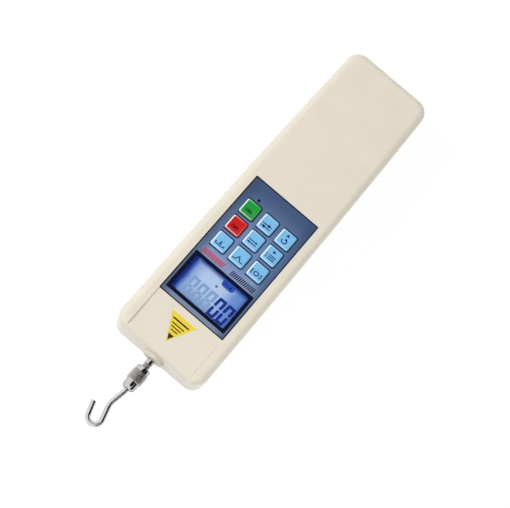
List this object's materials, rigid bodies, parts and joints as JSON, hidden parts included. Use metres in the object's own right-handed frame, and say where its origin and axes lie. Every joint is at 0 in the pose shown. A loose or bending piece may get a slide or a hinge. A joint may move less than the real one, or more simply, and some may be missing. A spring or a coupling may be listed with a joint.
{
  "type": "digital force gauge",
  "caption": "Hand-held digital force gauge: cream shell, blue keypad panel with display, and a sliding measuring shaft that carries a screw-on coupler and wire hook.",
  "frame": {"origin": "centre of the four stand holes on the flat back of the rear cover", "axes": "+X across the housing, +Y from the hook end to the far end along the measuring axis, +Z out of the front panel"},
  "size_m": [0.066, 0.2859, 0.0367],
  "materials": {
    "cream_paint": "satin",
    "cream_bush": "satin",
    "zinc_steel": "satin",
    "panel_blue": "satin",
    "black_plastic": "satin",
    "clear_plastic": "gloss",
    "display_glass": "gloss",
    "backlight": "satin",
    "grey_rubber": "matte",
    "lamp_lens": "gloss",
    "board_green": "satin",
    "nickel_brass": "satin",
    "bare_aluminium": "satin",
    "gauge_foil": "satin",
    "black_steel": "satin",
    "battery_can": "satin",
    "battery_wrap": "gloss",
    "bright_chrome": "polished",
    "coupler_chrome": "polished",
    "key_green": "satin",
    "key_red": "satin",
    "key_blue": "satin"
  },
  "bodies": {
    "housing": {"front_housing": "cream_paint", "rear_cover": "cream_paint", "housing_screws": "zinc_steel", "front_panel": "panel_blue", "display_bezel": "black_plastic", "display_window": "clear_plastic", "display_glass": "display_glass", "display_backlight": "backlight", "contact_strips": "grey_rubber", "status_lamp": "lamp_lens", "key_switches": "black_plastic", "main_board": "board_green", "board_screws": "zinc_steel", "board_chips": "black_plastic", "buzzer": "black_plastic", "guide_bush": "cream_bush", "guide_nut": "nickel_brass", "load_cell": "bare_aluminium", "strain_gauges": "gauge_foil", "anchor_block": "bare_aluminium", "anchor_screws": "zinc_steel", "load_cell_bolt": "black_steel", "battery_cells": "battery_can", "battery_sleeve": "battery_wrap", "battery_tray": "black_plastic", "interface_board": "board_green", "interface_screws": "zinc_steel", "charging_socket": "black_plastic", "data_socket": "black_plastic"},
    "shaft": {"measuring_shaft": "bright_chrome", "shaft_lock_nut": "zinc_steel"},
    "washer": {"swivel_washer": "nickel_brass"},
    "coupler": {"coupler": "coupler_chrome"},
    "hook": {"hook": "bright_chrome"},
    "on_key": {"key_on": "key_green", "plunger_on": "black_plastic"},
    "off_key": {"key_off": "key_red", "plunger_off": "black_plastic"},
    "save_key": {"key_save": "key_blue", "plunger_save": "black_plastic"},
    "set_key": {"key_set": "key_blue", "plunger_set": "black_plastic"},
    "unit_key": {"key_unit": "key_blue", "plunger_unit": "black_plastic"},
    "peak_key": {"key_peak": "key_blue", "plunger_peak": "black_plastic"},
    "rotate_key": {"key_rotate": "key_blue", "plunger_rotate": "black_plastic"},
    "check_key": {"key_check": "key_blue", "plunger_check": "black_plastic"},
    "zero_key": {"key_zero": "key_blue", "plunger_zero": "black_plastic"}
  },
  "joints": [
    {"name": "measuring_travel", "type": "slide", "parent": "housing", "child": "shaft", "axis": [0, -1, 0], "range_m": [-0.00025, 0.00025], "stiffness_N_per_m": 2000, "deforming": ["load_cell", "strain_gauges"]},
    {"name": "coupler_travel", "type": "slide", "parent": "shaft", "child": "washer", "axis": [0, -1, 0], "range_m": [0, 0.0064]},
    {"name": "coupler_turn", "type": "hinge", "parent": "washer", "child": "coupler", "pos_m": [0, -0.132, 0.018], "axis": [0, -1, 0], "range_deg": [0, 2880]},
    {"name": "hook_swivel", "type": "hinge", "parent": "washer", "child": "hook", "pos_m": [0, -0.138, 0.018], "axis": [0, -1, 0], "continuous": true},
    {"name": "on_key_press", "type": "slide", "parent": "housing", "child": "on_key", "axis": [0, 0, -1], "range_m": [0, 0.0006], "stiffness_N_per_m": 120, "springref_m": -0.001},
    {"name": "off_key_press", "type": "slide", "parent": "housing", "child": "off_key", "axis": [0, 0, -1], "range_m": [0, 0.0006], "stiffness_N_per_m": 120, "springref_m": -0.001},
    {"name": "save_key_press", "type": "slide", "parent": "housing", "child": "save_key", "axis": [0, 0, -1], "range_m": [0, 0.0006], "stiffness_N_per_m": 120, "springref_m": -0.001},
    {"name": "set_key_press", "type": "slide", "parent": "housing", "child": "set_key", "axis": [0, 0, -1], "range_m": [0, 0.0006], "stiffness_N_per_m": 120, "springref_m": -0.001},
    {"name": "unit_key_press", "type": "slide", "parent": "housing", "child": "unit_key", "axis": [0, 0, -1], "range_m": [0, 0.0006], "stiffness_N_per_m": 120, "springref_m": -0.001},
    {"name": "peak_key_press", "type": "slide", "parent": "housing", "child": "peak_key", "axis": [0, 0, -1], "range_m": [0, 0.0006], "stiffness_N_per_m": 120, "springref_m": -0.001},
    {"name": "rotate_key_press", "type": "slide", "parent": "housing", "child": "rotate_key", "axis": [0, 0, -1], "range_m": [0, 0.0006], "stiffness_N_per_m": 120, "springref_m": -0.001},
    {"name": "check_key_press", "type": "slide", "parent": "housing", "child": "check_key", "axis": [0, 0, -1], "range_m": [0, 0.0006], "stiffness_N_per_m": 120, "springref_m": -0.001},
    {"name": "zero_key_press", "type": "slide", "parent": "housing", "child": "zero_key", "axis": [0, 0, -1], "range_m": [0, 0.0006], "stiffness_N_per_m": 120, "springref_m": -0.001}
  ],
  "couplings": [
    {"joint": "coupler_travel", "follows": "coupler_turn", "m_per_rad": 0.00012732}
  ]
}
